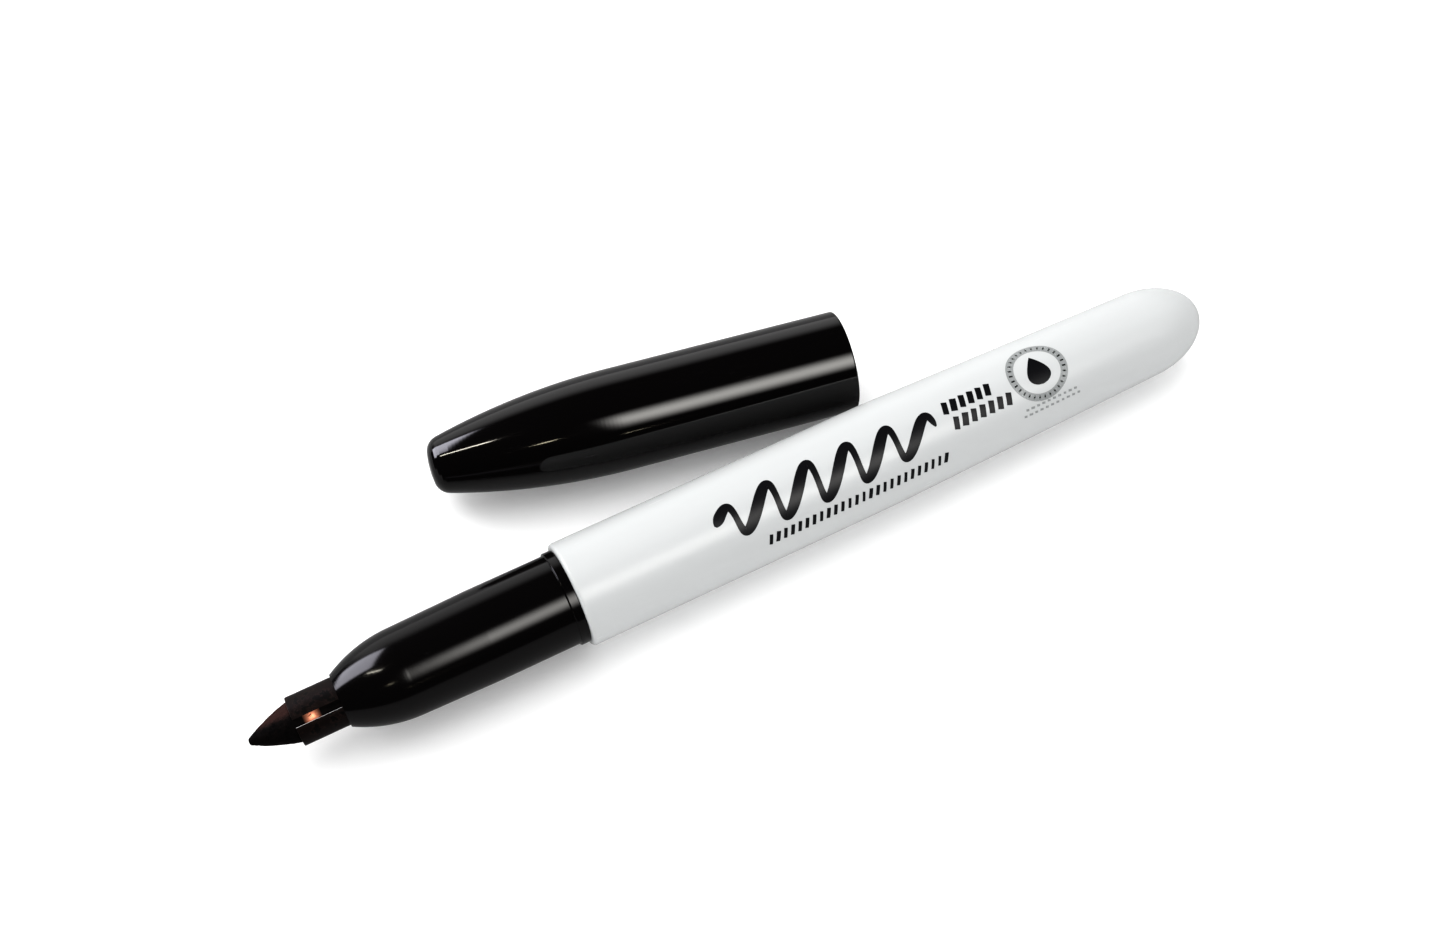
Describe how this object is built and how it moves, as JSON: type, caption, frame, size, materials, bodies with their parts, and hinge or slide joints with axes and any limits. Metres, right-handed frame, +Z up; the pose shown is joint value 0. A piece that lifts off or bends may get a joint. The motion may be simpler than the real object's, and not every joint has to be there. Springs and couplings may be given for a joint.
{
  "type": "felt tip marker",
  "caption": "Round felt tip marker with a plain barrel, dark grip and bullet nib, lying on its side with its push-on cap off beside it.",
  "frame": {"origin": "on the surface that the marker and its cap lie on, under the middle of the box round both", "axes": "+X along the marker's axis, towards its tail; +Y across, towards the side where the cap lies; +Z up"},
  "size_m": [0.1226, 0.0322, 0.0124],
  "materials": {
    "barrel_plastic": "glossy white polypropylene",
    "grip_plastic": "glossy black polypropylene",
    "holder_plastic": "black plastic dulled by dried ink",
    "nib_felt": "compressed fibre soaked with dark ink",
    "core_fibre": "fibre core soaked with dark ink",
    "core_film": "thin clear wrap",
    "cap_plastic": "glossy black polypropylene",
    "liner_plastic": "soft dark polyethylene"
  },
  "bodies": {
    "marker": {"barrel": "barrel_plastic", "grip_section": "grip_plastic", "nib_holder": "holder_plastic", "nib": "nib_felt", "ink_reservoir": "core_fibre", "reservoir_film": "core_film"},
    "cap": {"cap_shell": "cap_plastic", "cap_liner": "liner_plastic"}
  },
  "joints": [
    {"name": "cap_pull", "type": "slide", "parent": "marker", "child": "cap", "axis": [-0.9839, 0.1788, 0], "range_m": [0, 0.0375]}
  ]
}
